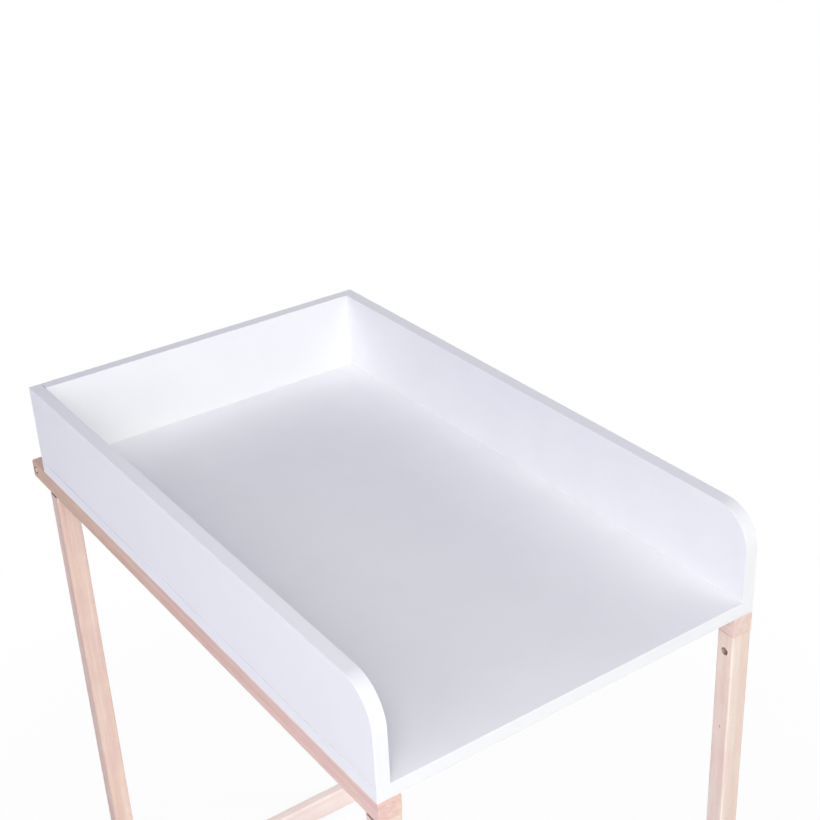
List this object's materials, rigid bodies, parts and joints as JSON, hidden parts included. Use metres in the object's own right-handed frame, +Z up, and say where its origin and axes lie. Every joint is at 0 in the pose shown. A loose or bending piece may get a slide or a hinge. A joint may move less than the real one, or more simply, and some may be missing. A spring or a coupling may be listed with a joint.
{
  "type": "changing table with bathtub",
  "caption": "Beech changing table whose white three-sided tray tips up on hinges at the back, with a baby bath that stands between its legs.",
  "frame": {"origin": "on the floor, in the middle of the footprint", "axes": "+Z up; the open short end of the tray faces -Y and the hinges are at +Y; +X is to the right as seen from the open end"},
  "size_m": [0.545, 0.928, 1.034],
  "materials": {
    "beech": "clear matt lacquer on steamed beech",
    "lacquer": "white silk lacquer on fibreboard",
    "steel": "zinc plated",
    "birch": "raw birch",
    "glide": "matt grey",
    "rubber": "matt dark grey",
    "bath_plastic": "white, half gloss"
  },
  "bodies": {
    "frame": {"rail_left": "beech", "rail_right": "beech", "leg_front_left": "beech", "leg_front_right": "beech", "leg_rear_left": "beech", "leg_rear_right": "beech", "rear_crossbar": "beech", "front_crossbar": "beech", "low_crossbar": "beech", "leg_bolt_front_left": "steel", "leg_bolt_front_right": "steel", "leg_bolt_rear_left": "steel", "leg_bolt_rear_right": "steel", "barrel_nut_front_left": "steel", "barrel_nut_front_right": "steel", "barrel_nut_rear_left": "steel", "barrel_nut_rear_right": "steel", "side_bolt_left": "steel", "side_bolt_right": "steel", "side_barrel_nut_left": "steel", "side_barrel_nut_right": "steel", "front_dowel_left": "birch", "front_dowel_right": "birch", "low_dowel_left": "birch", "low_dowel_right": "birch", "glide_front_left": "glide", "glide_front_right": "glide", "glide_rear_left": "glide", "glide_rear_right": "glide", "hinge_frame_leaf_left": "steel", "hinge_frame_leaf_right": "steel", "hinge_frame_screw_left_a": "steel", "hinge_frame_screw_left_b": "steel", "hinge_frame_screw_right_a": "steel", "hinge_frame_screw_right_b": "steel", "hinge_pin_left": "steel", "hinge_pin_right": "steel", "buffer_left": "rubber", "buffer_right": "rubber"},
    "tray": {"tray_base": "lacquer", "tray_side_left": "lacquer", "tray_side_right": "lacquer", "tray_back": "lacquer", "tray_screw_front_left": "steel", "tray_screw_front_right": "steel", "tray_screw_rear_left": "steel", "tray_screw_rear_right": "steel", "tray_screw_back_left": "steel", "tray_screw_back_right": "steel", "hinge_tray_leaf_left": "steel", "hinge_tray_leaf_right": "steel", "hinge_tray_screw_left_a": "steel", "hinge_tray_screw_left_b": "steel", "hinge_tray_screw_right_a": "steel", "hinge_tray_screw_right_b": "steel"},
    "bath": {"bath_tub": "bath_plastic", "bath_drain_ring": "steel"},
    "plug": {"bath_plug": "rubber"}
  },
  "joints": [
    {"name": "tray_tilt", "type": "hinge", "parent": "frame", "child": "tray", "pos_m": [0, 0.4191, 0.8978], "axis": [-1, 0, 0], "range_deg": [0, 90]},
    {"name": "bath_slide", "type": "slide", "parent": "frame", "child": "bath", "axis": [0, -1, 0], "range_m": [0, 0.75]},
    {"name": "plug_lift", "type": "slide", "parent": "bath", "child": "plug", "axis": [0, 0, 1], "range_m": [0, 0.06]}
  ]
}
